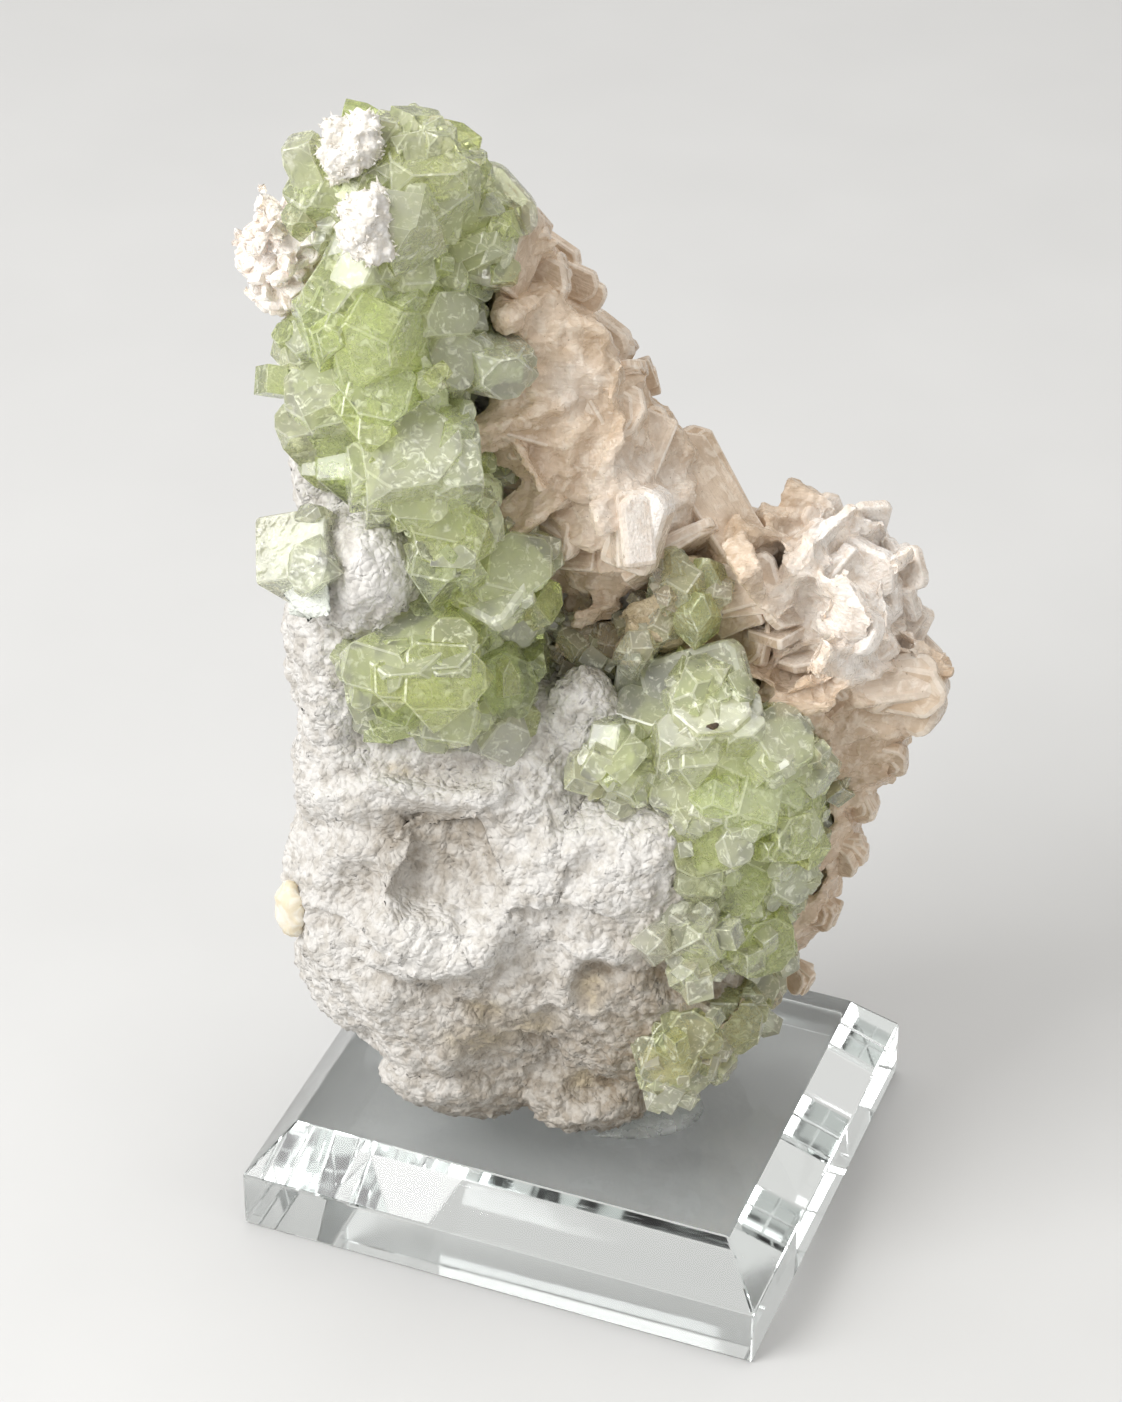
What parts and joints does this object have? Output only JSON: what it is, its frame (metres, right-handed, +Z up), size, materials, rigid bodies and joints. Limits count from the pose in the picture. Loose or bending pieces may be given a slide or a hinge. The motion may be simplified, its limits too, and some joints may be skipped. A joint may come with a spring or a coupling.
{
  "type": "apophyllite cluster",
  "caption": "Green apophyllite and peach stilbite crystals on white crusty matrix, fixed upright on a bevelled clear acrylic display block.",
  "frame": {"origin": "middle of the acrylic block's underside", "axes": "+Z up, +X along the block's long side, -Y towards the side that the specimen is shown from"},
  "size_m": [0.103, 0.0762, 0.1963],
  "materials": {
    "acrylic": "clear polished acrylic",
    "gel": "clear, slightly cloudy gel",
    "zeolite": "matt white crust, finely crinkled",
    "apophyllite": "glassy, clear to milky pale green",
    "stilbite": "pearly peach blades, slightly see-through",
    "cream": "waxy cream nodule"
  },
  "bodies": {
    "root": {"acrylic_base": "acrylic", "mounting_gel": "gel", "matrix": "zeolite", "apophyllite_column": "apophyllite", "apophyllite_lobe": "apophyllite", "apophyllite_foot": "apophyllite", "apophyllite_crevice": "apophyllite", "apophyllite_left_block": "apophyllite", "stilbite_flank": "stilbite", "stilbite_knob": "stilbite", "crest_tuft": "zeolite", "column_tuft": "zeolite", "cream_bud": "cream"}
  },
  "joints": []
}
